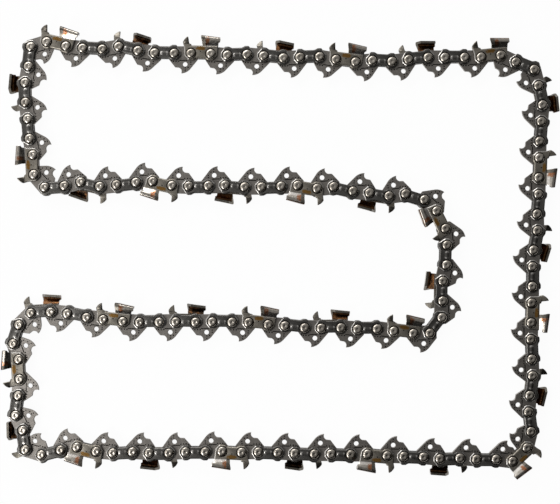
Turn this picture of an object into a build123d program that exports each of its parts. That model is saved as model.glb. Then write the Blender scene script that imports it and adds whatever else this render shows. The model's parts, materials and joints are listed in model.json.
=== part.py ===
from build123d import *

import os

import numpy as np

# A saw chain closed into a loop and lying flat: +X to the right of the lay, +Y to its top, +Z up.
# The floor is at Z = 0.
# Each link is drawn in a frame of its own: origin midway between its two rivets, +X towards the next link,
# +Y to the side that the cutters stand on, Z = 0 in the middle of the drive links' thickness.
# Lengths are millimetres and angles are degrees.

# Pitches and plates
DRIVE_PITCH = 8.70           # between the two rivets of a drive link
STRAP_PITCH = 10.35          # between the two rivets of a tie strap or a cutter
GAUGE = 1.5                  # thickness of a drive link
STRAP_THICKNESS = 1.4        # thickness of a tie strap or a cutter's plate
SIDE_GAP = 0.05              # running gap between a drive link and the strap beside it

# Tie strap: a bump about each rivet and a waist between them, measured from the line through the rivets
STRAP_REACH = 3.5            # end of the strap, past the rivet's centre
END_HALF_HEIGHT = 1.1        # flat at the end
CORNER_X = 1.7               # corner between end and bump, past the rivet's centre
CORNER_HEIGHT = 3.6
BUMP_TOP = 4.5               # on the cutters' side
BUMP_TOP_HALF_WIDTH = 1.0
BUMP_BOTTOM = 3.3            # on the tangs' side
BUMP_BOTTOM_HALF_WIDTH = 1.4
WAIST_START = 2.6            # from the rivet's centre to the waist
WAIST_TOP = 3.65
WAIST_BOTTOM = 2.5

# Rivets, as plain pins: they and their holes have few sides, because there are 144 of them
RIVET_DIAMETER = 5.0
RIVET_HEAD = 0.75            # how far a rivet stands out of the strap
RIVET_FIT = 0.01             # round the rivet in a strap
RIVET_PLAY = 0.06            # round the rivet in a drive link
FACETS = 8                   # sides of a rivet, its hole in a strap and an oil hole

# Drive link, measured from the middle between its rivets and from the line through them
LINK_TOP = 4.0               # upper edge
LINK_TOP_REACH = 1.2         # end of the upper edge, past the rivet's centre
LINK_REACH = 3.5             # end of the link, past the rivet's centre
LINK_CORNER_HEIGHT = 1.8     # where the slope down from the upper edge ends
FRONT_SHOULDER = 3.3        # upper end of the tang's front flank, past the front rivet
FRONT_SHOULDER_DEPTH = 2.35
REAR_SHOULDER = 3.7          # upper end of the rear flank, past the rear rivet
REAR_SHOULDER_DEPTH = 2.7
STEP_X = -4.1                # where the front flank ends in a small step
STEP_DEPTH = 6.95
HOOK_ROOT_X = -2.0
HOOK_ROOT_DEPTH = 7.15
HOOK_HOLLOW = 0.7            # sagitta of the hook's hollow edge
TANG_TIP_X = -0.8
TANG_DEPTH = 10.2            # depth of the hook's tip
HEEL_X = 0.6                 # where the heel starts to round up to the rear flank
HEEL_RISE = 0.3              # from the tip up to the start of the heel
HEEL_END_X = 3.7
HEEL_HEIGHT = 2.2            # from the tip up to the end of the heel
HEEL_ROUND = 0.25            # sagitta of the heel
OIL_HOLE_DIAMETER = 2.8
OIL_HOLE_X = 1.2
OIL_HOLE_DEPTH = 5.45

# Cutter: depth gauge over the front rivet, cutting head from the middle to the rear rivet
PLATE_NECK = 3.6             # front edge of the plate below the gauge, past the front rivet
PLATE_NECK_HEIGHT = 2.6
GAUGE_NECK = 3.8             # the gauge's outer edge, past the front rivet
GAUGE_NECK_HEIGHT = 3.9
GAUGE_NOSE = 4.3             # its front corner, past the front rivet
GAUGE_NOSE_HEIGHT = 5.75
GAUGE_TIP = 1.5              # its tip, past the front rivet
GAUGE_TIP_HEIGHT = 8.75
GAUGE_ROUND = 0.4            # sagitta between nose and tip
GAUGE_BACK = 1.0             # lower end of its rear edge, past the front rivet
GAUGE_BACK_HEIGHT = 5.4
GULLET = 0.3                 # front end of the gullet, behind the front rivet
GULLET_HEIGHT = 4.2
GULLET_HOLLOW = 0.35         # sagitta between the gauge and the gullet
PLATE_TAIL = 3.9             # rear edge of the plate at its top, past the rear rivet
HEAD_FOOT_X = 0.85           # front of the head at its foot
HEAD_FRONT_X = -0.1          # front of the head at its top
HEAD_HEIGHT = 9.6            # top of the head at its front
HEAD_TAIL = 4.9              # rear edge of the head, past the rear rivet
TAIL_FOOT = 4.0              # rear edge at the upper end of the jog, past the rear rivet
TAIL_HEIGHT = 6.9            # where the rear edge starts
HEAD_JOG = 1.4               # how far the side plate is set outwards
JOG_END = 5.5                # upper end of the slanting jog, which starts at the gullet's height
HEAD_ROOT = 3.6              # lower end of the head, inside the base plate
TOP_PLATE = 1.2              # thickness of the top plate
TOP_PLATE_OVERHANG = 0.6     # how far the top plate reaches past the chain's middle
TOP_SLOPE = 6.3              # fall of the top plate towards the rear
FILING_ANGLE = 30            # of the front edge of the top plate

# Lay of the links, stretch by stretch and clockwise round the loop: the heading of each link, anticlockwise
# from +X. Links alternate, a side pair first: tie straps, left cutter, tie straps, right cutter, and again.
LAY = {
    "top_run": [84, 17, -13, -7, -3, 9, -12, -8, -1, 0, -1, -5, 2, -5, -6, 2, 2, -10, -7, 5, -3, 7, 6, 0, 0,
                1, 6, -25, -22, -76],
    "right_upper": [-79, -93, -93, -90],
    "right_upper_joint": [-92, -91, -95],
    "right_middle": [-91, -98, -94],
    "right_lower_joint": [-91, -92, -92, -91, -88, -88],
    "right_lower": [-98, -96],
    "bottom_run": [-83, -104, -137, -187, -180, -184, -178, -186, -182, -182, -185, -178, -182, -180, -182,
                   -182, -182, -179, -183, -178, -180, -176, -180, -184, -177, -185, -193, -170, -166, -197,
                   -262, -244],
    "left_lower": [-278, -271],
    "inner_lower_run": [-267, -250, -287, -315, -357, -366, -371, -367, -366, -363, -359, -359, -361, -359,
                        -361, -361, -366, -364, -366, -361, -359, -365, -359, -368, -367, -359, -307],
    "inner_right": [-270, -266, -291],
    "inner_upper_run": [-271, -265, -243, -222, -197, -173, -189, -186, -193, -174, -189, -177, -178, -180,
                        -185, -178, -179, -182, -192, -177, -173, -174, -193, -167, -176, -229, -267, -258],
    "left_upper": [-265, -262, -270, -285],
}
SIDE_PAIRS = ("tie_straps", "left_cutters", "tie_straps", "right_cutters")

# Stretches that sway side by side, as the two cranks of a parallelogram
SWAYS = (("left_lower", "right_lower"), ("inner_right", "right_middle"), ("left_upper", "right_upper"))
CLOSING_STEPS = 8            # rounds of closing the loop

# Places that follow from the sizes
STRAP_INNER = GAUGE / 2 + SIDE_GAP
STRAP_OUTER = STRAP_INNER + STRAP_THICKNESS
HEAD_OUTER = STRAP_OUTER + HEAD_JOG
CENTRE_HEIGHT = max(HEAD_OUTER, STRAP_OUTER + RIVET_HEAD)
FRONT_RIVET = -STRAP_PITCH / 2
REAR_RIVET = STRAP_PITCH / 2


def faceted_round(radius):
    """A round drawn with few sides, with flats at both ends, top and bottom."""
    return RegularPolygon(radius, FACETS, rotation=180 / FACETS)


def at_rivets(shape, pitch):
    """The shape at both rivets of a link."""
    return Pos(-pitch / 2, 0, 0) * shape + Pos(pitch / 2, 0, 0) * shape


def side_plate(face):
    """A plate of the upper side, standing off the drive links by the running gap."""
    return extrude(Pos(0, 0, STRAP_INNER) * face, STRAP_THICKNESS, dir=(0, 0, 1))


def rivet():
    half_length = STRAP_OUTER + RIVET_HEAD
    end = Pos(0, 0, -half_length) * faceted_round(RIVET_DIAMETER / 2)
    return extrude(end, 2 * half_length, dir=(0, 0, 1))


def strap_outline():
    """Outline of a tie strap, from the waist round one end and then round the other."""
    past_rivet = [(-WAIST_START, -WAIST_BOTTOM), (-BUMP_BOTTOM_HALF_WIDTH, -BUMP_BOTTOM),
                  (BUMP_BOTTOM_HALF_WIDTH, -BUMP_BOTTOM), (STRAP_REACH, -END_HALF_HEIGHT),
                  (STRAP_REACH, END_HALF_HEIGHT), (CORNER_X, CORNER_HEIGHT),
                  (BUMP_TOP_HALF_WIDTH, BUMP_TOP), (-BUMP_TOP_HALF_WIDTH, BUMP_TOP),
                  (-WAIST_START, WAIST_TOP)]
    rear = [(REAR_RIVET + x, y) for x, y in past_rivet]
    front = [(FRONT_RIVET - x, y) for x, y in reversed(past_rivet)]
    return make_face(Polyline(*rear, *front, close=True))


def strap_holes():
    return at_rivets(faceted_round(RIVET_DIAMETER / 2 + RIVET_FIT), STRAP_PITCH)


def tie_strap():
    return side_plate(strap_outline() - strap_holes())


def drive_link():
    """Middle plate: a body about both rivets, and below it a tang with a hook at its front."""
    half_pitch = DRIVE_PITCH / 2
    top_end = half_pitch + LINK_TOP_REACH
    corner = half_pitch + LINK_REACH
    hook_root = (HOOK_ROOT_X, -HOOK_ROOT_DEPTH)
    tip = (TANG_TIP_X, -TANG_DEPTH)
    heel = (HEEL_X, HEEL_RISE - TANG_DEPTH)
    heel_end = (HEEL_END_X, HEEL_HEIGHT - TANG_DEPTH)
    front = Polyline((-top_end, LINK_TOP), (-corner, LINK_CORNER_HEIGHT),
                     (-half_pitch - FRONT_SHOULDER, -FRONT_SHOULDER_DEPTH), (STEP_X, -STEP_DEPTH),
                     hook_root)
    hook = SagittaArc(hook_root, tip, HOOK_HOLLOW)
    sole = Line(tip, heel)
    heel_arc = SagittaArc(heel, heel_end, -HEEL_ROUND)
    rear = Polyline(heel_end, (half_pitch + REAR_SHOULDER, -REAR_SHOULDER_DEPTH),
                    (corner, LINK_CORNER_HEIGHT), (top_end, LINK_TOP), (-top_end, LINK_TOP))
    plate = make_face([front, hook, sole, heel_arc, rear])
    rivet_holes = at_rivets(Circle(RIVET_DIAMETER / 2 + RIVET_PLAY), DRIVE_PITCH)
    oil_hole = Pos(OIL_HOLE_X, -OIL_HOLE_DEPTH) * faceted_round(OIL_HOLE_DIAMETER / 2)
    return extrude(Pos(0, 0, -GAUGE / 2) * (plate - rivet_holes - oil_hole), GAUGE, dir=(0, 0, 1))


def cutter_base():
    """The cutter's flat plate: a strap with the depth gauge and the foot of the cutting head on it."""
    front_end = (FRONT_RIVET - STRAP_REACH, -END_HALF_HEIGHT)
    rear_end = (REAR_RIVET + STRAP_REACH, -END_HALF_HEIGHT)
    nose = (FRONT_RIVET - GAUGE_NOSE, GAUGE_NOSE_HEIGHT)
    tip = (FRONT_RIVET - GAUGE_TIP, GAUGE_TIP_HEIGHT)
    back = (FRONT_RIVET - GAUGE_BACK, GAUGE_BACK_HEIGHT)
    gullet = (FRONT_RIVET + GULLET, GULLET_HEIGHT)
    front = Polyline(front_end, (FRONT_RIVET - PLATE_NECK, PLATE_NECK_HEIGHT),
                     (FRONT_RIVET - GAUGE_NECK, GAUGE_NECK_HEIGHT), nose)
    gauge = SagittaArc(nose, tip, GAUGE_ROUND)
    gauge_back = Line(tip, back)
    hollow = SagittaArc(back, gullet, -GULLET_HOLLOW)
    rear = Polyline(gullet, (REAR_RIVET + PLATE_TAIL, GULLET_HEIGHT), rear_end, front_end)
    return side_plate(strap_outline() + make_face([front, gauge, gauge_back, hollow, rear]))


def cutting_head():
    """Side plate jogged outwards from the base plate, and top plate bent over, falling to the rear."""
    outer = HEAD_OUTER
    inner = HEAD_OUTER - STRAP_THICKNESS
    rear = REAR_RIVET + HEAD_TAIL
    plate_rear = REAR_RIVET + PLATE_TAIL
    rear_height = HEAD_HEIGHT - (rear - HEAD_FRONT_X) * float(np.tan(np.radians(TOP_SLOPE)))
    section = Polyline((HEAD_ROOT, STRAP_INNER), (HEAD_ROOT, STRAP_OUTER), (GULLET_HEIGHT, STRAP_OUTER),
                       (JOG_END, outer), (HEAD_HEIGHT, outer), (HEAD_HEIGHT, inner), (JOG_END, inner),
                       (GULLET_HEIGHT, STRAP_INNER), close=True)
    bar = extrude(Plane.YZ * make_face(section), 2 * STRAP_PITCH, both=True, dir=(1, 0, 0))
    side_view = Polyline((HEAD_FOOT_X, HEAD_ROOT), (HEAD_FOOT_X, GULLET_HEIGHT),
                         (HEAD_FRONT_X, HEAD_HEIGHT), (rear, rear_height), (rear, TAIL_HEIGHT),
                         (REAR_RIVET + TAIL_FOOT, JOG_END), (plate_rear, GULLET_HEIGHT),
                         (plate_rear, HEAD_ROOT), close=True)
    lean = (HEAD_FOOT_X - HEAD_FRONT_X) * TOP_PLATE / (HEAD_HEIGHT - GULLET_HEIGHT)
    top_view = Polyline((HEAD_FRONT_X, HEAD_HEIGHT), (rear, rear_height), (rear, rear_height - TOP_PLATE),
                        (HEAD_FRONT_X + lean, HEAD_HEIGHT - TOP_PLATE), close=True)
    top_plate = extrude(Pos(0, 0, -TOP_PLATE_OVERHANG) * make_face(top_view), outer + TOP_PLATE_OVERHANG,
                        dir=(0, 0, 1))
    head = (bar & extrude(make_face(side_view), 2 * outer, both=True, dir=(0, 0, 1))) + top_plate
    swept = (outer + TOP_PLATE_OVERHANG) * float(np.tan(np.radians(FILING_ANGLE)))
    filed = make_face(Polyline((HEAD_FRONT_X, outer), (HEAD_FRONT_X + swept, -TOP_PLATE_OVERHANG),
                               (HEAD_FRONT_X - swept, -TOP_PLATE_OVERHANG), (HEAD_FRONT_X - swept, outer),
                               close=True))
    above = HEAD_HEIGHT + TOP_PLATE
    return head - Pos(0, above) * Rot(90, 0, 0) * extrude(filed, above - GULLET_HEIGHT, dir=(0, 0, 1))


def left_cutter():
    return cutter_base() + cutting_head() - extrude(strap_holes(), HEAD_OUTER, dir=(0, 0, 1))


def closed_lay():
    """Turn the links by the least that closes the loop and makes each swaying pair parallel and equal."""
    stretch_of = [name for name, headings in LAY.items() for _ in headings]
    turns = np.radians([heading for headings in LAY.values() for heading in headings])
    lengths = np.where(np.arange(len(turns)) % 2 == 0, STRAP_PITCH, DRIVE_PITCH)
    members = np.array([[True] * len(turns)] + [[name in pair for name in stretch_of] for pair in SWAYS])
    for _ in range(CLOSING_STEPS):
        steps = lengths * np.exp(1j * turns)
        gaps = members @ steps
        change = members * (1j * steps)
        turns = turns - np.linalg.lstsq(np.vstack([change.real, change.imag]),
                                        np.concatenate([gaps.real, gaps.imag]), rcond=None)[0]
    steps = lengths * np.exp(1j * turns)
    starts = np.cumsum(steps) - steps
    return stretch_of, turns, starts, starts + steps / 2


def link_pieces(number):
    """Node part names and solids of one link, in the link's own frame."""
    if number % 2 == 1:
        return [("drive_links", DRIVE_LINK)]
    kind = SIDE_PAIRS[number // 2 % len(SIDE_PAIRS)]
    upper = ("left_cutters", LEFT_CUTTER) if kind == "left_cutters" else ("tie_straps", TIE_STRAP)
    lower = ("right_cutters", RIGHT_CUTTER) if kind == "right_cutters" else ("tie_straps", LOWER_STRAP)
    rivets = [("rivets", Pos(place, 0, 0) * RIVET) for place in (FRONT_RIVET, REAR_RIVET)]
    return [upper, lower] + rivets


DRIVE_LINK = drive_link()
TIE_STRAP = tie_strap()
LOWER_STRAP = mirror(TIE_STRAP, about=Plane.XY)
LEFT_CUTTER = left_cutter()
RIGHT_CUTTER = mirror(LEFT_CUTTER, about=Plane.XY)
RIVET = rivet()

stretch_of, turns, starts, middles = closed_lay()
nodes = {}
for number, middle in enumerate(middles):
    place = Pos(middle.real, middle.imag, CENTRE_HEIGHT) * Rot(0, 0, float(np.degrees(turns[number])))
    for part_name, piece in link_pieces(number):
        nodes.setdefault(f"{stretch_of[number]}_{part_name}", []).append(place * piece)

box = Compound([piece for pieces in nodes.values() for piece in pieces]).bounding_box()
to_origin = Pos(-box.center().X, -box.center().Y, 0)
rivet_places = [(start.real - box.center().X, start.imag - box.center().Y) for start in starts]

os.makedirs("parts", exist_ok=True)
for name, pieces in nodes.items():
    export_step(Compound([to_origin * piece for piece in pieces]), f"parts/{name}.step")
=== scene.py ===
"""Saw chain laid in a loop: fine plates, cutters and rivets in place of the solids, with camera and light."""
import json
import math
import random

import bmesh
import bpy
import numpy as np
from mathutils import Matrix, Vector
from mathutils.geometry import tessellate_polygon


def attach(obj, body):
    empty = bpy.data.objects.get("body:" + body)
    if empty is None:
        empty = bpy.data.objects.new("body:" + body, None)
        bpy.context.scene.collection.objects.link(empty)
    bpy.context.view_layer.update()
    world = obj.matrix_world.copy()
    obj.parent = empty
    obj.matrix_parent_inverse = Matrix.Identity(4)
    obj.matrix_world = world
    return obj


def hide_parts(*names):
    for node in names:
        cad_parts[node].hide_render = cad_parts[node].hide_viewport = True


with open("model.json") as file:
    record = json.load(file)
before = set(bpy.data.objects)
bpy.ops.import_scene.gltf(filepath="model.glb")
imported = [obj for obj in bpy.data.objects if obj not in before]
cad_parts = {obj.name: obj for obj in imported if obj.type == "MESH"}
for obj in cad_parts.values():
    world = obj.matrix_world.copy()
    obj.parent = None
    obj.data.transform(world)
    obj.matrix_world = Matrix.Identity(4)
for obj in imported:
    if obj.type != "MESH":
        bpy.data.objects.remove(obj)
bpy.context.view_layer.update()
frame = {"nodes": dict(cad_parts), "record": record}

MM = 0.001
random.seed(72)

# Sizes shared with the solids, in millimetres. Heights are from the chain's middle plane.
DRIVE_PITCH = 8.70
STRAP_PITCH = 10.35
FRONT_RIVET = -STRAP_PITCH / 2
REAR_RIVET = STRAP_PITCH / 2
MIDDLE_HEIGHT = 3.6          # of the middle plane above the floor
LINK_FACE = 0.75             # half the drive link's thickness
STRAP_INNER = 0.8
STRAP_OUTER = 2.2

# Rivet, with its head as (radius, height) from the dimple out to the brim
RIVET_RADIUS = 2.55
RIVET_TOP = 2.95
RIVET_SIDES = 28
RIVET_HEAD = [(0.2, 2.78), (0.5, 2.86), (0.8, 2.925), (1.1, 2.945), (1.4, 2.935), (1.7, 2.87), (1.95, 2.77),
              (2.18, 2.63), (2.37, 2.45), (2.5, 2.24), (RIVET_RADIUS, 1.9)]

# Seat of a rivet in a side plate
SEAT_PLAY = 0.03             # about the rivet
SEAT_DEPTH = 0.3
SEAT_RADIUS = 2.87           # of its mouth, painted dark as shade
SEAT_SHIFT = 0.07            # of the mouth upwards and towards the plate's middle, so that it clears the rim

# Edges of straps and cutters
INNER_BEVEL = 0.12           # on the drive link's side
OUTER_EDGE = [(0, 0.3), (0.2, 0.13)]     # in from the side, down from the face
STRAP_EDGE = 0.48            # from a strap's side to where its face begins
CUTTER_EDGE = 0.46
WEAR_AND_HIGHLIGHT_FROM = 6.3              # distance from a link's middle past which its rim is rubbed bright, with a painted highlight
WEAR_AND_HIGHLIGHT_ABOVE = 1.89            # height above which a rim is rubbed bright, with a painted highlight

# Tie strap: outline past a rivet, tangs' side first
STRAP_PAST_RIVET = [(-2.6, -2.5), (-1.4, -3.3), (1.4, -3.3), (3.5, -1.1), (3.5, 1.1), (1.7, 3.6), (1.0, 4.5),
                    (-1.0, 4.5), (-2.6, 3.65)]
STRAP_CORNER = 1.3           # radius
RIB_LENGTH = 4.4             # pressed rib between the rivets
RIB_WIDTH = 2.2
RIB_STEPS = [(0, 0, 0), (0.2, 0.4, 0.1), (0.35, 0.75, 0.17), (0.5, 1.0, 0.2)]   # in at ends, in at sides, up
RIB_END_POINTS = 8
RIB_WEAR_AND_HIGHLIGHT_FROM = 1.05         # distance from the middle past which the rib's ends are rubbed bright, with a painted highlight

# Drive link: front flank, then the hook's tip and heel, then the rear flank
LINK_FRONT = [(-5.55, 4.0), (-7.85, 1.8), (-7.65, -2.35), (-4.1, -6.95)]
HOOK_ROOT = (-2.0, -7.15)
HOOK_HOLLOW = 0.7
HOOK_POINTS = 5
TANG_TIP = (-0.8, -10.2)
HEEL = (0.6, -9.9)
HEEL_END = (3.7, -8.0)
HEEL_ROUND = 0.25
HEEL_POINTS = 3
LINK_REAR = [(8.05, -2.7), (7.85, 1.8), (5.55, 4.0)]
LINK_CORNER = 0.3            # radius
LINK_BEVEL = 0.15
RIVET_PLAY = 0.06            # in the drive link
RIVET_HOLE_SIDES = 16
OIL_HOLE = (1.2, -5.45)
OIL_HOLE_RADIUS = 1.25
OIL_HOLE_BEVEL = 0.12
OIL_HOLE_SIDES = 20
PITS = [(1.3, -8.6), (2.8, -7.1), (1.35, -7.35), (4.2, -5.5), (4.2, -4.4),
        (-6.0, -3.6), (-4.9, -4.0), (-3.5, -4.0), (-2.1, -4.0)]
PIT_RADIUS = 0.37
PIT_SIDES = 8
PIT_DEPTH = 0.3
PIT_TAPER = 0.06             # that a pit's floor is drawn in by
GROOVE_MIDDLE = (0.3, -3.45)  # between the body and the tang
GROOVE_LENGTH = 4.2
GROOVE_WIDTH = 0.5
GROOVE_END_POINTS = 5

# Cutter's plate with its depth gauge
PLATE_FOOT = STRAP_PAST_RIVET[:3]        # below a rivet it is like a strap
PLATE_FRONT = [(-8.675, -1.1), (-8.775, 2.6), (-8.975, 3.9)]
PLATE_REAR = [(9.0, 4.2), (8.675, -1.1)]
PLATE_CORNER = 0.6           # radius
GAUGE_NOSE = (-9.475, 5.75)
GAUGE_TIP = (-6.675, 8.75)
GAUGE_ROUND = 0.4
GAUGE_POINTS = 4
GAUGE_BACK = (-6.175, 5.4)
GULLET = (-4.875, 4.2)
GULLET_HOLLOW = 0.35
GULLET_POINTS = 3
GAUGE_BEND = 5.0             # where the gauge starts to lean outwards
GAUGE_LEAN = 0.3             # outwards for each millimetre up
GAUGE_DARK_FROM = 4.5        # where the gauge's rim starts to have its filed finish
PUNCH_DOT = (-0.1, 1.1)
PUNCH_DOT_RADIUS = 0.33

# Cutting head. Its section is given as (distance below the top, height).
HEAD_FOOT = (0.85, 4.2)
HEAD_FRONT = (-0.1, 9.6)
HEAD_REAR = [(9.0, 3.6), (9.075, 4.2), (9.175, 5.5), (10.075, 6.9), (10.075, 9.6)]
HEAD_OUTER = 3.6             # height of the side plate's outside
HEAD_INNER = 2.2             # and of its inside
HEAD_SLOPE = math.tan(math.radians(6.3))
SLOPE_END = 4.0              # distance below the top where the slope has faded out
SLOPE_FADE = 1.6
FILING = math.tan(math.radians(30))
FILING_END = 4.2             # distance below the top where the slant of the filing has faded out
FILING_FADE = 1.0
TOP_PLATE_END = -0.6         # height of its free edge
TOP_PLATE_FLAT = 1.4         # height that its flat reaches up to
TOP_PLATE_THICKNESS = 1.2
OUTER_BEND = 1.2             # radius
INNER_BEND = 0.5
BEND_POINTS = 6
JOG_OUTSIDE = [(2.0, HEAD_OUTER), (2.25, 3.56), (3.9, 3.02), (4.15, 2.92), (5.2, 2.3), (5.5, 2.14),
               (6.0, 2.1)]
JOG_INSIDE = [(2.1, HEAD_INNER), (2.35, 2.16), (3.9, 1.65), (4.15, 1.55), (5.2, 0.95), (5.5, 0.9),
              (6.0, 0.9)]
# Share of the way to the rear, and how far the outside is sunk there
HEAD_LENGTHS = [(0, 0.24), (0.02, 0.14), (0.19, 0.05), (0.22, 0), (0.5, 0), (0.8, 0), (0.98, 0), (1, 0.1)]
FILED_SHARE = 0.2            # of the head's length, from the front
SHADED_BEND = 0.3              # width of the painted shade along the bend, seen from the side plate
CHROME_FROM = 4.0            # distance below the top where the bright jog begins

# Limits for working out the outlines
CORNER_STEP = 0.3            # length of the pieces that a rounded corner is made of
SIDE_SHARE = 0.45            # most of a side that a rounded corner takes up
NEARLY_STRAIGHT = 1.5        # half the angle at a corner that is left as it is, in radians
SHORTEST_REACH = 0.02        # of a corner that is rounded
MITRE_LIMIT = 0.5            # keeps sharp corners from running out when an outline is moved
NO_AREA = 1e-9
ON_LINE = 0.001

# Limits for reading the links' frames, and for their sharp edges
WELD = 1e-6                  # distance between corners that are one, in metres
PITCH_MATCH = 0.05           # by which a pair of rivets may miss its pitch
SHARP_ANGLE = math.radians(42)

# Finishes, with noise scales per millimetre
NOISE_RANGE = (0.3, 0.7)     # where most of a noise lies
NOISE_DETAIL = 3.0
FINE_DETAIL = 5.0
BLOTCH_SCALE = 0.5
BLOTCH_SHARE = 0.6           # of the mottle; the fine grain has the rest
TONE_SHARE = 0.3             # of the colour that differs from link to link; the mottle has the rest
SMOOTHER = 0.07              # how far the roughness strays down and up
ROUGHER = 0.09
GRAIN_SCALE = 1.6            # of the fine grain, where a finish has none of its own
SKIN_STRENGTH = 0.3          # of the rough skin, likewise
SKIN_DEPTH = 0.05
PATCH_POWER = 3.0            # makes a patch nearly square
MIX_FACTOR, MIX_FIRST, MIX_SECOND = 0, 6, 7   # sockets of a mix node for colours
MIX_RESULT = 2
# Patches on the cutters: middle, half size, colour, scale and strength of the ragged edge, softness
AMBER_STAIN = ((0.0, 2.7), (2.4, 0.95), (0.22, 0.12, 0.035), 1.1, 0.7, (0.6, 1.4))
HEAT_TINT = ((3.2, 6.4), (1.4, 1.9), (0.36, 0.15, 0.07), 1.2, 0.9, (0.1, 1.5))

# Floor, lamps, world and camera, in metres and watts
FLOOR_HALF = 4.0
FLOOR_WHITE = 0.9
FLOOR_GLOW = 0.96            # share of the floor's own white in what is seen or mirrored of it
# Name, place, target, size and power
LAMPS = [("upper_left", (-0.30, 0.62, 0.46), (0, 0, 0), (0.7, 0.16), 2.6),
         ("lower_left", (-0.52, -0.46, 0.52), (0, 0, 0), (0.26, 0.26), 2.4),
         ("left_sheen", (-0.42, -0.13, 0.64), (-0.1, -0.05, 0), (0.16, 0.16), 0.6)]
BRIGHT_SIDE = (-0.72, 0.69, 0.0)
# Share of the way from the dark to the bright side, and the brightness there
SKY_STOPS = [(0.0, 0.01), (0.30, 0.02), (0.41, 0.27), (0.60, 0.34), (0.72, 0.60), (0.84, 0.95)]
SKY_SEEN = 0.98              # white that the camera sees past the floor
CAMERA_DISTANCE = 0.550      # above the plane of the rivets' heads
CAMERA_OFFSET = (-0.00035, 0.00009)
CAMERA_SENSOR = 36           # width and lens in millimetres
CAMERA_LENS = 67.7

# Finishes of the faces: rivets have the first, drive links the first two, straps three and cutters all
PLAIN, RECESS_SHADE, WORN_AND_HIGHLIGHT, CHROME, TEMPER_AND_SHADE, FILED, SIDE = range(7)


# Outlines, as lists of corners in the plane of a link

def circle(centre, radius, count):
    """A round hole or ring, anticlockwise."""
    turns = [2 * math.pi * (step + 0.5) / count for step in range(count)]
    return [(centre[0] + radius * math.cos(t), centre[1] + radius * math.sin(t)) for t in turns]


def arc(centre, radius, start, end, count):
    """Corners of an arc between two angles in degrees, both ends included."""
    turns = np.radians(np.linspace(start, end, count))
    return [(centre[0] + radius * math.cos(t), centre[1] + radius * math.sin(t)) for t in turns]


def bow(start, end, sagitta, count):
    """Corners between two points on a shallow arc that bulges to the right of the way by the sagitta."""
    a, b = np.array(start), np.array(end)
    along = b - a
    right = np.array([along[1], -along[0]]) / np.hypot(*along)
    shares = np.linspace(0, 1, count + 2)[1:-1]
    return [tuple(a + along * s + right * 4 * sagitta * s * (1 - s)) for s in shares]


def stadium(length, width, count):
    """A long round-ended panel about the origin, anticlockwise."""
    half, radius = (length - width) / 2, width / 2
    return arc((half, 0), radius, -90, 90, count) + arc((-half, 0), radius, 90, 270, count)


def rounded(corners, radius):
    """A closed outline with each corner rounded by a radius, or by as much as its sides allow."""
    outline = []
    for index, corner in enumerate(corners):
        here = Vector(corner)
        back = Vector(corners[index - 1]) - here
        ahead = Vector(corners[(index + 1) % len(corners)]) - here
        half = back.angle(ahead) / 2
        longest = SIDE_SHARE * min(back.length, ahead.length)
        reach = min(radius / math.tan(half), longest) if half < NEARLY_STRAIGHT else 0
        if reach < SHORTEST_REACH:
            outline.append(corner)
            continue
        start, end = here + back.normalized() * reach, here + ahead.normalized() * reach
        count = max(1, math.ceil(2 * reach / CORNER_STEP))
        for step in range(count + 1):
            share = step / count
            point = start * (1 - share) ** 2 + here * 2 * share * (1 - share) + end * share ** 2
            outline.append(tuple(point))
    return outline


def moved_in(outline, distance):
    """The outline moved to its left, into the material, by a distance."""
    points = np.array(outline)
    along = np.roll(points, -1, axis=0) - points
    along /= np.linalg.norm(along, axis=1)[:, None]
    left = np.stack([-along[:, 1], along[:, 0]], axis=1)
    before = np.roll(left, 1, axis=0)
    middle = before + left
    middle /= np.maximum((middle * left).sum(axis=1), MITRE_LIMIT)[:, None]
    return [tuple(p) for p in points + middle * distance]


class Shape:
    """Corners, faces and the finish number of each face, in a link's own frame and in millimetres."""

    def __init__(self):
        self.points = []
        self.faces = []
        self.finishes = []

    def ring(self, outline, height):
        first = len(self.points)
        self.points += [(x, y, height) for x, y in outline]
        return list(range(first, len(self.points)))

    def face(self, corners, finish=PLAIN):
        self.faces.append(tuple(corners))
        self.finishes.append(finish)

    def join(self, rings, finish=PLAIN):
        """Walls between rings of equal count, from the bottom up, facing to the right of their way."""
        for lower, upper in zip(rings, rings[1:]):
            for index in range(len(lower)):
                after = (index + 1) % len(lower)
                self.face((lower[index], lower[after], upper[after], upper[index]), finish)

    def fill(self, rings, up, finish=PLAIN):
        """Flat face within the first ring and outside the others, facing up or down."""
        flat = [corner for ring in rings for corner in ring]
        loops = [[Vector(self.points[corner]) for corner in ring] for ring in rings]
        for corners in tessellate_polygon(loops):
            a, b, c = (np.array(self.points[flat[corner]])[:2] for corner in corners)
            area = (b - a)[0] * (c - a)[1] - (b - a)[1] * (c - a)[0]
            if abs(area) < NO_AREA:
                continue
            ordered = corners if (area > 0) == up else corners[::-1]
            self.face([flat[corner] for corner in ordered], finish)

    def wall(self, outline, levels, finish=PLAIN):
        """Walls of an outline at levels of (distance moved in, height); the end rings are given back."""
        rings = [self.ring(moved_in(outline, inset), height) for inset, height in levels]
        self.join(rings, finish)
        return rings[0], rings[-1]

    def add(self, other):
        """Take up another shape."""
        first = len(self.points)
        self.points += other.points
        self.faces += [tuple(first + corner for corner in face) for face in other.faces]
        self.finishes += other.finishes

    def mirrored(self):
        """The same shape for the chain's lower side."""
        other = Shape()
        other.points = [(x, y, -z) for x, y, z in self.points]
        other.faces = [face[::-1] for face in self.faces]
        other.finishes = list(self.finishes)
        return other


def pit(shape, outline, face):
    """A small sunk mark whose walls and floor are painted dark as shade; its rim on the face is given back.
    """
    floor, rim = shape.wall(outline[::-1], [(-PIT_TAPER, face - PIT_DEPTH), (0, face)], RECESS_SHADE)
    shape.fill([floor], True, RECESS_SHADE)
    return rim


# Drive link

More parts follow.
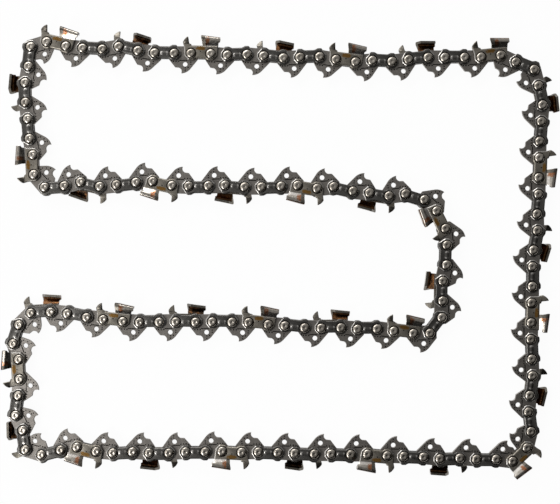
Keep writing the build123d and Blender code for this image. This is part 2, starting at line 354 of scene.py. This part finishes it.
def drive_link_outline():
    hook = [HOOK_ROOT] + bow(HOOK_ROOT, TANG_TIP, -HOOK_HOLLOW, HOOK_POINTS) + [TANG_TIP]
    heel = [HEEL] + bow(HEEL, HEEL_END, HEEL_ROUND, HEEL_POINTS) + [HEEL_END]
    return rounded(LINK_FRONT + hook + heel + LINK_REAR, LINK_CORNER)


def bevelled_levels(bevel):
    """Levels of an edge of the drive link that is bevelled on both faces."""
    return [(bevel, -LINK_FACE), (0, bevel - LINK_FACE), (0, LINK_FACE - bevel), (bevel, LINK_FACE)]


def drive_link():
    """Middle plate with its hooked tang, oil hole, a groove along the foot of the tang and punched pits."""
    shape = Shape()
    ends = [shape.wall(drive_link_outline(), bevelled_levels(LINK_BEVEL))]
    for place in (-DRIVE_PITCH / 2, DRIVE_PITCH / 2):
        hole = circle((place, 0), RIVET_RADIUS + RIVET_PLAY, RIVET_HOLE_SIDES)
        ends.append(shape.wall(hole[::-1], [(0, -LINK_FACE), (0, LINK_FACE)]))
    oil_hole = circle(OIL_HOLE, OIL_HOLE_RADIUS, OIL_HOLE_SIDES)
    ends.append(shape.wall(oil_hole[::-1], bevelled_levels(OIL_HOLE_BEVEL)))
    tops = [top for bottom, top in ends]
    bottoms = [bottom for bottom, top in ends]
    # Pits and the groove have walls and floors painted dark as shade
    for mark in PITS:
        tops.append(pit(shape, circle(mark, PIT_RADIUS, PIT_SIDES), LINK_FACE))
    groove = stadium(GROOVE_LENGTH, GROOVE_WIDTH, GROOVE_END_POINTS)
    groove = [(x + GROOVE_MIDDLE[0], y + GROOVE_MIDDLE[1]) for x, y in groove]
    tops.append(pit(shape, groove, LINK_FACE))
    shape.fill(tops, up=True)
    shape.fill(bottoms, up=False)
    return shape


# Straps and cutters

def plate_levels(edge):
    """Levels of a side plate: bevelled inside, rounded outside, with its face inside the edge."""
    inside = [(INNER_BEVEL, STRAP_INNER), (0, STRAP_INNER + INNER_BEVEL)]
    outside = [(inset, STRAP_OUTER - down) for inset, down in OUTER_EDGE]
    return inside + outside + [(edge, STRAP_OUTER)]


def rivet_seat(shape, place):
    """Countersunk hole that a rivet's head stands in: its ring underneath and its ring on the face."""
    hole = circle((place, 0), RIVET_RADIUS + SEAT_PLAY, RIVET_SIDES)[::-1]
    mouth_middle = (place - math.copysign(SEAT_SHIFT, place), SEAT_SHIFT)
    mouth = circle(mouth_middle, SEAT_RADIUS, RIVET_SIDES)[::-1]
    rings = [shape.ring(hole, STRAP_INNER), shape.ring(hole, STRAP_OUTER - SEAT_DEPTH),
             shape.ring(mouth, STRAP_OUTER)]
    # The seat's walls are painted dark as shade, a dark ring about the rivet's head
    shape.join(rings, RECESS_SHADE)
    return rings[0], rings[-1]


def wear_and_highlight_ends(shape, first, reach):
    """Give the upper rims, from the first face on, that lie past the reach and below the gauge the lighter
    finish of rubbed wear with a painted highlight.
    """
    for number in range(first, len(shape.faces)):
        corners = [shape.points[corner] for corner in shape.faces[number]]
        past_end = min(x for x, y, z in corners) > reach or max(x for x, y, z in corners) < -reach
        below_gauge = max(y for x, y, z in corners) < GAUGE_BEND
        if past_end and below_gauge and min(z for x, y, z in corners) > WEAR_AND_HIGHLIGHT_ABOVE:
            shape.finishes[number] = WORN_AND_HIGHLIGHT


def strap_outline():
    """A bump about each rivet and a waist between them."""
    rear = [(REAR_RIVET + x, y) for x, y in STRAP_PAST_RIVET]
    front = [(FRONT_RIVET - x, y) for x, y in reversed(STRAP_PAST_RIVET)]
    return rounded(rear + front, STRAP_CORNER)


def rib_ring(end_inset, side_inset):
    """Outline of the pressed rib, drawn in by one distance at its ends and by another at its sides."""
    radius = RIB_WIDTH / 2
    ring = []
    for x, y in stadium(RIB_LENGTH, RIB_WIDTH, RIB_END_POINTS):
        end = math.copysign(RIB_LENGTH / 2 - radius, x)
        ring.append((end + (x - end) * (1 - end_inset / radius), y * (1 - side_inset / radius)))
    return ring


def tie_strap():
    """Outer plate with a countersunk seat about each rivet and a pressed rib between them."""
    shape = Shape()
    bottom, edge = shape.wall(strap_outline(), plate_levels(STRAP_EDGE))
    wear_and_highlight_ends(shape, 0, WEAR_AND_HIGHLIGHT_FROM)
    bottoms, tops = [bottom], [edge]
    for place in (FRONT_RIVET, REAR_RIVET):
        under, mouth = rivet_seat(shape, place)
        bottoms.append(under)
        tops.append(mouth)
    first = len(shape.faces)
    rings = [shape.ring(rib_ring(end, side), STRAP_OUTER + rise) for end, side, rise in RIB_STEPS]
    shape.join(rings)
    wear_and_highlight_ends(shape, first, RIB_WEAR_AND_HIGHLIGHT_FROM)
    shape.fill([rings[-1]], up=True)
    shape.fill(tops + [rings[0]], up=True)
    shape.fill(bottoms, up=False)
    return shape


def cutter_outline():
    """The cutter's plate in outline: depth gauge, gullet and the foot of the cutting head."""
    front = PLATE_FRONT[-1]
    nose_share = (GAUGE_BEND - front[1]) / (GAUGE_NOSE[1] - front[1])
    bend_front = (front[0] + nose_share * (GAUGE_NOSE[0] - front[0]), GAUGE_BEND)
    hollow = bow(GAUGE_BACK, GULLET, -GULLET_HOLLOW, GULLET_POINTS)
    bend_rear = (hollow[0][0], GAUGE_BEND)
    rear = PLATE_REAR[::-1] + [GULLET] + hollow[:0:-1] + [bend_rear, GAUGE_BACK, GAUGE_TIP]
    nose = bow(GAUGE_TIP, GAUGE_NOSE, GAUGE_ROUND, GAUGE_POINTS) + [GAUGE_NOSE, bend_front]
    foot = [(FRONT_RIVET - x, y) for x, y in reversed(PLATE_FOOT)]
    foot += [(REAR_RIVET + x, y) for x, y in PLATE_FOOT]
    return rounded(rear + nose + PLATE_FRONT[::-1] + foot, PLATE_CORNER)


def cutter_plate():
    """Flat plate with a rivet seat at each end; its depth gauge leans outwards."""
    shape = Shape()
    outline = cutter_outline()
    bottom, top = shape.wall(outline, plate_levels(CUTTER_EDGE))
    wear_and_highlight_ends(shape, 0, WEAR_AND_HIGHLIGHT_FROM)
    for number, face in enumerate(shape.faces):
        if min(shape.points[corner][1] for corner in face) > GAUGE_DARK_FROM:
            shape.finishes[number] = FILED
    # The leaning gauge and the flat rest have faces of their own, which share the two corners on the bend
    above = [y > GAUGE_BEND - ON_LINE for x, y in outline]
    first = next(i for i in range(len(above)) if above[i] and not above[i - 1])
    count = sum(above)
    gauge = [(first + step) % len(above) for step in range(count)]
    others = [(first + count - 1 + step) % len(above) for step in range(len(above) - count + 2)]
    bottoms, tops = [[bottom[i] for i in others]], [[top[i] for i in others]]
    for place in (FRONT_RIVET, REAR_RIVET):
        under, mouth = rivet_seat(shape, place)
        bottoms.append(under)
        tops.append(mouth)
    tops.append(pit(shape, circle(PUNCH_DOT, PUNCH_DOT_RADIUS, PIT_SIDES), STRAP_OUTER))
    shape.fill(tops, up=True)
    shape.fill(bottoms, up=False)
    shape.fill([[top[i] for i in gauge]], True, FILED)
    shape.fill([[bottom[i] for i in gauge]], False, FILED)
    shape.points = [(x, y, z + GAUGE_LEAN * max(0, y - GAUGE_BEND)) for x, y, z in shape.points]
    return shape


def head_section():
    """Outer and inner line of the bent head as (distance below its top, height), top plate first."""
    turns = np.radians(np.linspace(0, 90, BEND_POINTS))
    bend = [(1 - math.cos(t), 1 - math.sin(t)) for t in turns]
    under = TOP_PLATE_THICKNESS
    outer = [(0, TOP_PLATE_END), (0, TOP_PLATE_FLAT)]
    outer += [(OUTER_BEND * down, HEAD_OUTER - OUTER_BEND * in_from) for down, in_from in bend]
    inner = [(under, TOP_PLATE_END), (under, TOP_PLATE_FLAT)]
    inner += [(under + INNER_BEND * down, HEAD_INNER - INNER_BEND * in_from) for down, in_from in bend]
    return outer + JOG_OUTSIDE, inner + JOG_INSIDE


def fade(below, end, length):
    """1 at the head's top, and down to 0 along the length that leads to the end."""
    return min(1, max(0, (end - below) / length))


def head_point(below, height, share):
    """A point of the head from its distance below the top, its height and its share of the length."""
    level = HEAD_FRONT[1] - below
    lean = (HEAD_FOOT[0] - HEAD_FRONT[0]) / (HEAD_FRONT[1] - HEAD_FOOT[1])
    slant = FILING * max(HEAD_OUTER - height, 0) * fade(below, FILING_END, FILING_FADE)
    front = HEAD_FRONT[0] + lean * below + slant
    rear = float(np.interp(level, [y for x, y in HEAD_REAR], [x for x, y in HEAD_REAR]))
    x = front + (rear - front) * share
    fall = HEAD_SLOPE * (x - HEAD_FRONT[0]) * fade(below, SLOPE_END, SLOPE_FADE)
    return x, level - fall, height


def head_grid(shape, line, sunk):
    """Rows of corners along the head, one for each of its lengths; the outside is sunk at both ends."""
    grid = []
    for share, sink in HEAD_LENGTHS:
        row = []
        for below, height in line:
            x, y, z = head_point(below, height, share)
            shape.points.append((x, y, z - sink * min(1, below) if sunk else z))
            row.append(len(shape.points) - 1)
        grid.append(row)
    return grid


def head_finish(share, below, height):
    """Finish of the head's outside: painted shade along the bend, filed at the front, bright on the jog."""
    if height > TOP_PLATE_FLAT and below < SHADED_BEND:
        return TEMPER_AND_SHADE
    if share < FILED_SHARE:
        return FILED
    return CHROME if below > CHROME_FROM else SIDE


def cutting_head():
    """Side plate jogged outwards with the top plate bent over the chain."""
    shape = Shape()
    outer, inner = head_section()
    near = head_grid(shape, outer, sunk=True)
    far = head_grid(shape, inner, sunk=False)
    last = len(outer) - 1
    # Faces on the head's inside and at its rear end are painted dark as shade, with temper colour
    for step in range(len(HEAD_LENGTHS) - 1):
        here, ahead = near[step], near[step + 1]
        under, under_ahead = far[step], far[step + 1]
        for index in range(last):
            finish = head_finish(HEAD_LENGTHS[step][0], *outer[index])
            shape.face((here[index], here[index + 1], ahead[index + 1], ahead[index]), finish)
            shape.face((under[index], under_ahead[index], under_ahead[index + 1], under[index + 1]), TEMPER_AND_SHADE)
        shape.face((here[0], ahead[0], under_ahead[0], under[0]), FILED)
        shape.face((here[last], under[last], under_ahead[last], ahead[last]), TEMPER_AND_SHADE)
    for index in range(last):
        shape.face((near[0][index], far[0][index], far[0][index + 1], near[0][index + 1]), FILED)
        shape.face((near[-1][index], near[-1][index + 1], far[-1][index + 1], far[-1][index]), TEMPER_AND_SHADE)
    return shape


def cutter():
    """The plate and its cutting head."""
    shape = cutter_plate()
    shape.add(cutting_head())
    return shape


def rivet():
    """Round pin whose ends are spun over to a flat head with a round brim and a small dimple."""
    shape = Shape()
    profile = [(radius, -height) for radius, height in RIVET_HEAD] + RIVET_HEAD[::-1]
    rings = [shape.ring(circle((0, 0), radius, RIVET_SIDES), height) for radius, height in profile]
    shape.join(rings)
    shape.face(rings[0][::-1])
    shape.face(rings[-1])
    return shape


# Frames of the links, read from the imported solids

def solids(node):
    """The corners of each solid of a node, in millimetres."""
    mesh = bmesh.new()
    mesh.from_mesh(frame["nodes"][node].data)
    bmesh.ops.remove_doubles(mesh, verts=mesh.verts, dist=WELD)
    seen = set()
    found = []
    for start in mesh.verts:
        if start in seen:
            continue
        seen.add(start)
        waiting, members = [start], []
        while waiting:
            corner = waiting.pop()
            members.append(tuple(corner.co / MM))
            for edge in corner.link_edges:
                other = edge.other_vert(corner)
                if other not in seen:
                    seen.add(other)
                    waiting.append(other)
        found.append(np.array(members))
    mesh.free()
    return found


def middle_of(corners):
    return (corners.min(axis=0) + corners.max(axis=0))[:2] / 2


KINDS = ("drive_links", "tie_straps", "left_cutters", "right_cutters", "rivets")
kind_of = {node: next(kind for kind in KINDS if node.endswith(kind)) for node in frame["nodes"]}
solids_of = {node: solids(node) for node in frame["nodes"]}
rivet_places = np.array([middle_of(c) for n in solids_of if kind_of[n] == "rivets" for c in solids_of[n]])
apart = np.linalg.norm(rivet_places[:, None] - rivet_places[None], axis=2)


def rivet_pairs(pitch):
    """Both rivets of each link with this pitch."""
    first, second = np.nonzero(np.triu(abs(apart - pitch) < PITCH_MATCH, 1))
    return rivet_places[first], rivet_places[second]


def link_frame(centre, pitch, up_hint):
    """Midpoint of the nearest pair of rivets and the direction of the next link, cutter side on its left."""
    first, second = rivet_pairs(pitch)
    middles = (first + second) / 2
    nearest = np.argmin(np.linalg.norm(middles - centre, axis=1))
    along = (second - first)[nearest] / pitch
    up = np.array([-along[1], along[0]])
    if up @ up_hint(middles[nearest]) < 0:
        along = -along
    return middles[nearest], along


def drive_frame(corners):
    """Frame of a drive link, whose tang puts its middle on the other side of its rivets than the cutters."""
    centre = middle_of(corners)
    return link_frame(centre, DRIVE_PITCH, lambda middle: middle - centre)


drive_frames = [drive_frame(c) for n in solids_of if kind_of[n] == "drive_links" for c in solids_of[n]]
drive_middles = np.array([middle for middle, along in drive_frames])
drive_ups = np.array([(-along[1], along[0]) for middle, along in drive_frames])


def up_of_neighbours(middle):
    """Cutter side of the two drive links beside a side pair."""
    nearest = np.argsort(np.linalg.norm(drive_middles - middle, axis=1))[:2]
    return drive_ups[nearest].sum(axis=0)


def side_frame(corners):
    """Frame of a strap or a cutter."""
    return link_frame(middle_of(corners), STRAP_PITCH, up_of_neighbours)


def rivet_frame(corners):
    """Place of a rivet, turned by chance."""
    turn = random.uniform(0, 2 * math.pi)
    return middle_of(corners), (math.cos(turn), math.sin(turn))


def make_piece(node, placed, materials):
    """One mesh for all the links of a node, each given as (shape, middle, direction)."""
    points, places, tones, faces, finishes = [], [], [], [], []
    for shape, middle, along in placed:
        local = np.array(shape.points)
        turned = np.empty_like(local)
        turned[:, 0] = local[:, 0] * along[0] - local[:, 1] * along[1] + middle[0]
        turned[:, 1] = local[:, 0] * along[1] + local[:, 1] * along[0] + middle[1]
        turned[:, 2] = local[:, 2] + MIDDLE_HEIGHT
        first = len(points)
        points += (turned * MM).tolist()
        places += local.tolist()
        tones += [random.random()] * len(local)
        faces += [[first + corner for corner in face] for face in shape.faces]
        finishes += shape.finishes
    mesh = bpy.data.meshes.new(node + "_fine")
    mesh.from_pydata(points, [], faces)
    for material in materials:
        mesh.materials.append(material)
    mesh.polygons.foreach_set("material_index", finishes)
    mesh.polygons.foreach_set("use_smooth", [True] * len(faces))
    mesh.attributes.new("place", "FLOAT_VECTOR", "POINT").data.foreach_set("vector", np.ravel(places))
    mesh.attributes.new("tone", "FLOAT", "POINT").data.foreach_set("value", tones)
    mesh.set_sharp_from_angle(angle=SHARP_ANGLE)
    piece = bpy.data.objects.new(node + "_fine", mesh)
    bpy.context.scene.collection.objects.link(piece)
    normals = piece.modifiers.new("flat_faces", "WEIGHTED_NORMAL")
    normals.keep_sharp = True
    return piece


# Finishes

class Nodes:
    """Short ways to make the nodes of a material or of the world."""

    def __init__(self, owner):
        owner.use_nodes = True
        self.tree = owner.node_tree

    def connect(self, value, socket):
        """Give a socket a number, a colour or another node's output."""
        if isinstance(value, bpy.types.NodeSocket):
            self.tree.links.new(value, socket)
        else:
            socket.default_value = value

    def add(self, kind, inputs=(), **settings):
        node = self.tree.nodes.new(kind)
        for key, value in settings.items():
            setattr(node, key, value)
        for key, value in dict(inputs).items():
            self.connect(value, node.inputs[key])
        return node

    def math(self, operation, first, second=0.0):
        return self.add("ShaderNodeMath", {0: first, 1: second}, operation=operation).outputs[0]

    def span(self, value, low, high, to_low, to_high):
        return self.add("ShaderNodeMapRange", {"Value": value, "From Min": low, "From Max": high,
                                               "To Min": to_low, "To Max": to_high}).outputs[0]

    def blend(self, share, first, second):
        """Mix of two colours."""
        node = self.add("ShaderNodeMix", data_type="RGBA")
        for value, number in ((share, MIX_FACTOR), (first, MIX_FIRST), (second, MIX_SECOND)):
            self.connect(value, node.inputs[number])
        return node.outputs[MIX_RESULT]


class Finish(Nodes):
    """A metal, with noise and patches in the millimetres of the part and of its links."""

    def __init__(self, name):
        self.material = bpy.data.materials.new(name)
        super().__init__(self.material)
        self.shader = self.tree.nodes["Principled BSDF"]
        self.shader.inputs["Metallic"].default_value = 1.0
        self.colour = None

    def link(self, output, name):
        self.tree.links.new(output, self.shader.inputs[name])

    def noise(self, scale, detail=NOISE_DETAIL):
        """Noise in the part's own millimetres, different for each link."""
        place = self.add("ShaderNodeTexCoord").outputs["Object"]
        to_mm = {0: place, 1: (1 / MM, 1 / MM, 1 / MM)}
        in_mm = self.add("ShaderNodeVectorMath", to_mm, operation="MULTIPLY").outputs[0]
        inputs = {"Vector": in_mm, "Scale": scale, "Detail": detail}
        return self.add("ShaderNodeTexNoise", inputs).outputs["Fac"]

    def attribute(self, name, output):
        return self.add("ShaderNodeAttribute", attribute_name=name).outputs[output]

    def off_middle(self, value, middle, half):
        """Distance from a patch's middle in half sizes, raised so that the patch is nearly square."""
        distance = self.math("DIVIDE", self.math("SUBTRACT", value, middle), half)
        return self.math("POWER", self.math("ABSOLUTE", distance), PATCH_POWER)

    def patch(self, middle, half, colour, scale, strength, soft):
        """Lay a soft ragged patch of another colour on each link."""
        ragged = self.span(self.noise(scale), *NOISE_RANGE, -strength, strength)
        place = self.add("ShaderNodeSeparateXYZ", {0: self.attribute("place", "Vector")}).outputs
        far = self.math("ADD", self.off_middle(place[0], middle[0], half[0]),
                        self.off_middle(place[1], middle[1], half[1]))
        share = self.span(self.math("ADD", far, ragged), *soft, 1, 0)
        self.link(self.blend(share, self.colour, (*colour, 1)), "Base Color")

    def bump(self, height, strength, distance):
        inputs = {"Height": height, "Strength": strength, "Distance": distance * MM}
        self.link(self.add("ShaderNodeBump", inputs).outputs[0], "Normal")


def steel(name, dark, light, rough, grain=GRAIN_SCALE, patches=NOISE_RANGE, skin=SKIN_STRENGTH):
    """Worn steel: blotched colour, uneven gloss and a fine rough skin; links differ a little in tone."""
    finish = Finish(name)
    blotch = finish.noise(BLOTCH_SCALE)
    fine = finish.noise(grain, FINE_DETAIL)
    mottle = finish.math("ADD", finish.math("MULTIPLY", blotch, BLOTCH_SHARE),
                         finish.math("MULTIPLY", fine, 1 - BLOTCH_SHARE))
    tone = finish.math("MULTIPLY", finish.attribute("tone", "Fac"), TONE_SHARE)
    share = finish.math("ADD", finish.span(mottle, *patches, 0, 1 - TONE_SHARE), tone)
    finish.colour = finish.blend(share, (*dark, 1), (*light, 1))
    finish.link(finish.colour, "Base Color")
    finish.link(finish.span(fine, *NOISE_RANGE, rough - SMOOTHER, rough + ROUGHER), "Roughness")
    finish.bump(fine, skin, SKIN_DEPTH)
    return finish


drive_steel = steel("drive_steel", (0.20, 0.185, 0.168), (0.31, 0.287, 0.262), rough=0.38)
strap_steel = steel("strap_steel", (0.085, 0.081, 0.075), (0.135, 0.129, 0.12), rough=0.36)
rivet_steel = steel("rivet_steel", (0.26, 0.23, 0.19), (0.66, 0.61, 0.54), rough=0.22, grain=1.2, skin=0.12)
# Near-black painted shade for the insides of pits, the groove and the rivet seats
recess_shade = steel("painted_recess_shade", (0.012, 0.011, 0.010), (0.02, 0.018, 0.016), rough=0.6)
# Lighter metal for rubbed rims, with a painted highlight on the ends of straps, plates and ribs
worn_and_highlight = steel("worn_edge_and_highlight", (0.30, 0.285, 0.265), (0.55, 0.53, 0.50), rough=0.28)
plate_steel = steel("cutter_plate", (0.20, 0.183, 0.153), (0.29, 0.265, 0.225), rough=0.38)
chrome = steel("cutter_chrome", (0.56, 0.52, 0.47), (0.86, 0.82, 0.77), rough=0.17, skin=0.12)
side = steel("cutter_side", (0.34, 0.31, 0.27), (0.58, 0.54, 0.48), rough=0.22, grain=0.9, skin=0.15)
# Inside of the cutting head and the line along its bend: near-black painted shade, with brown and amber
# patches of temper colour and painted glints
temper_and_shade = steel("cutter_temper_and_shade", (0.012, 0.010, 0.008), (0.27, 0.12, 0.045), rough=0.26, grain=0.9,
               patches=(0.46, 0.8))
filed_edge = steel("cutter_filed", (0.085, 0.077, 0.063), (0.225, 0.205, 0.175), rough=0.28, grain=0.9)

plate_steel.patch(*AMBER_STAIN)
side.patch(*HEAT_TINT)
chrome.patch(*HEAT_TINT)


# The pieces

STRAP = tie_strap()
LOWER_STRAP = STRAP.mirrored()
CUTTER = cutter()
SHAPES = {"drive_links": drive_link(), "left_cutters": CUTTER, "right_cutters": CUTTER.mirrored(),
          "rivets": rivet()}
FRAMES = {"drive_links": drive_frame, "tie_straps": side_frame, "left_cutters": side_frame,
          "right_cutters": side_frame, "rivets": rivet_frame}
CUTTER_FINISHES = [plate_steel, recess_shade, worn_and_highlight, chrome, temper_and_shade, filed_edge, side]
FINISHES = {"drive_links": [drive_steel, recess_shade], "tie_straps": [strap_steel, recess_shade, worn_and_highlight],
            "left_cutters": CUTTER_FINISHES, "right_cutters": CUTTER_FINISHES, "rivets": [rivet_steel]}
bodies = frame["record"]["behaviour"]["bodies"]
body_of_node = {node: body for body, nodes in bodies.items() for node in nodes}


def shape_of(kind, corners):
    """Shape of a link. Straps lie on both sides of the chain, and each kind of cutter on one."""
    if kind != "tie_straps":
        return SHAPES[kind]
    return STRAP if corners[:, 2].mean() > MIDDLE_HEIGHT else LOWER_STRAP


for node, found in solids_of.items():
    kind = kind_of[node]
    placed = [(shape_of(kind, corners), *FRAMES[kind](corners)) for corners in found]
    piece = make_piece(node, placed, [finish.material for finish in FINISHES[kind]])
    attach(piece, body_of_node[node])
    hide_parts(node)


# Floor, light and camera

def floor():
    """White sheet that the chain lies on; what is seen or mirrored of it is mostly its own white."""
    mesh = bpy.data.meshes.new("floor")
    half = FLOOR_HALF
    corners = [(-half, -half, 0), (half, -half, 0), (half, half, 0), (-half, half, 0)]
    mesh.from_pydata(corners, [], [(0, 1, 2, 3)])
    sheet = bpy.data.objects.new("floor", mesh)
    bpy.context.scene.collection.objects.link(sheet)
    material = bpy.data.materials.new("floor_white")
    paint = Nodes(material)
    paint.tree.nodes.clear()
    lit = paint.add("ShaderNodeBsdfDiffuse", {"Color": (FLOOR_WHITE, FLOOR_WHITE, FLOOR_WHITE, 1)})
    glow = paint.add("ShaderNodeEmission", {"Color": (1, 1, 1, 1)})
    path = paint.add("ShaderNodeLightPath").outputs
    seen = paint.math("MAXIMUM", path["Is Camera Ray"], path["Is Glossy Ray"])
    share = paint.math("MULTIPLY", seen, FLOOR_GLOW)
    mix = paint.add("ShaderNodeMixShader", {0: share, 1: lit.outputs[0], 2: glow.outputs[0]})
    paint.add("ShaderNodeOutputMaterial", {"Surface": mix.outputs[0]})
    mesh.materials.append(material)


def softbox(name, place, target, size, power):
    lamp = bpy.data.lights.new(name, "AREA")
    lamp.shape = "RECTANGLE"
    lamp.size, lamp.size_y = size
    lamp.energy = power
    holder = bpy.data.objects.new(name, lamp)
    holder.location = place
    holder.rotation_euler = (Vector(target) - Vector(place)).to_track_quat("-Z", "Y").to_euler()
    bpy.context.scene.collection.objects.link(holder)


def studio():
    """World that is bright to the left and behind, dark on the other sides, and white to the camera."""
    world = bpy.data.worlds.new("studio")
    bpy.context.scene.world = world
    sky = Nodes(world)
    way = sky.add("ShaderNodeTexCoord").outputs["Generated"]
    to_bright_side = sky.add("ShaderNodeVectorMath", {0: way, 1: Vector(BRIGHT_SIDE).normalized()},
                             operation="DOT_PRODUCT").outputs["Value"]
    level = sky.add("ShaderNodeValToRGB", {0: sky.span(to_bright_side, -1, 1, 0, 1)})
    stops = level.color_ramp.elements
    while len(stops) < len(SKY_STOPS):
        stops.new(0.5)
    for stop, (place, value) in zip(stops, SKY_STOPS):
        stop.position = place
        stop.color = (value, value, value, 1)
    is_camera = sky.add("ShaderNodeLightPath").outputs["Is Camera Ray"]
    seen = sky.blend(is_camera, level.outputs[0], (SKY_SEEN, SKY_SEEN, SKY_SEEN, 1))
    sky.connect(seen, sky.tree.nodes["Background"].inputs["Color"])


def camera():
    """Camera straight above the chain."""
    lens = bpy.data.cameras.new("camera")
    lens.sensor_width = CAMERA_SENSOR
    lens.lens = CAMERA_LENS
    eye = bpy.data.objects.new("camera", lens)
    eye.location = (*CAMERA_OFFSET, (MIDDLE_HEIGHT + RIVET_TOP) * MM + CAMERA_DISTANCE)
    bpy.context.scene.collection.objects.link(eye)
    bpy.context.scene.camera = eye


floor()
for lamp in LAMPS:
    softbox(*lamp)
studio()
camera()
bpy.context.scene.view_settings.view_transform = "Standard"
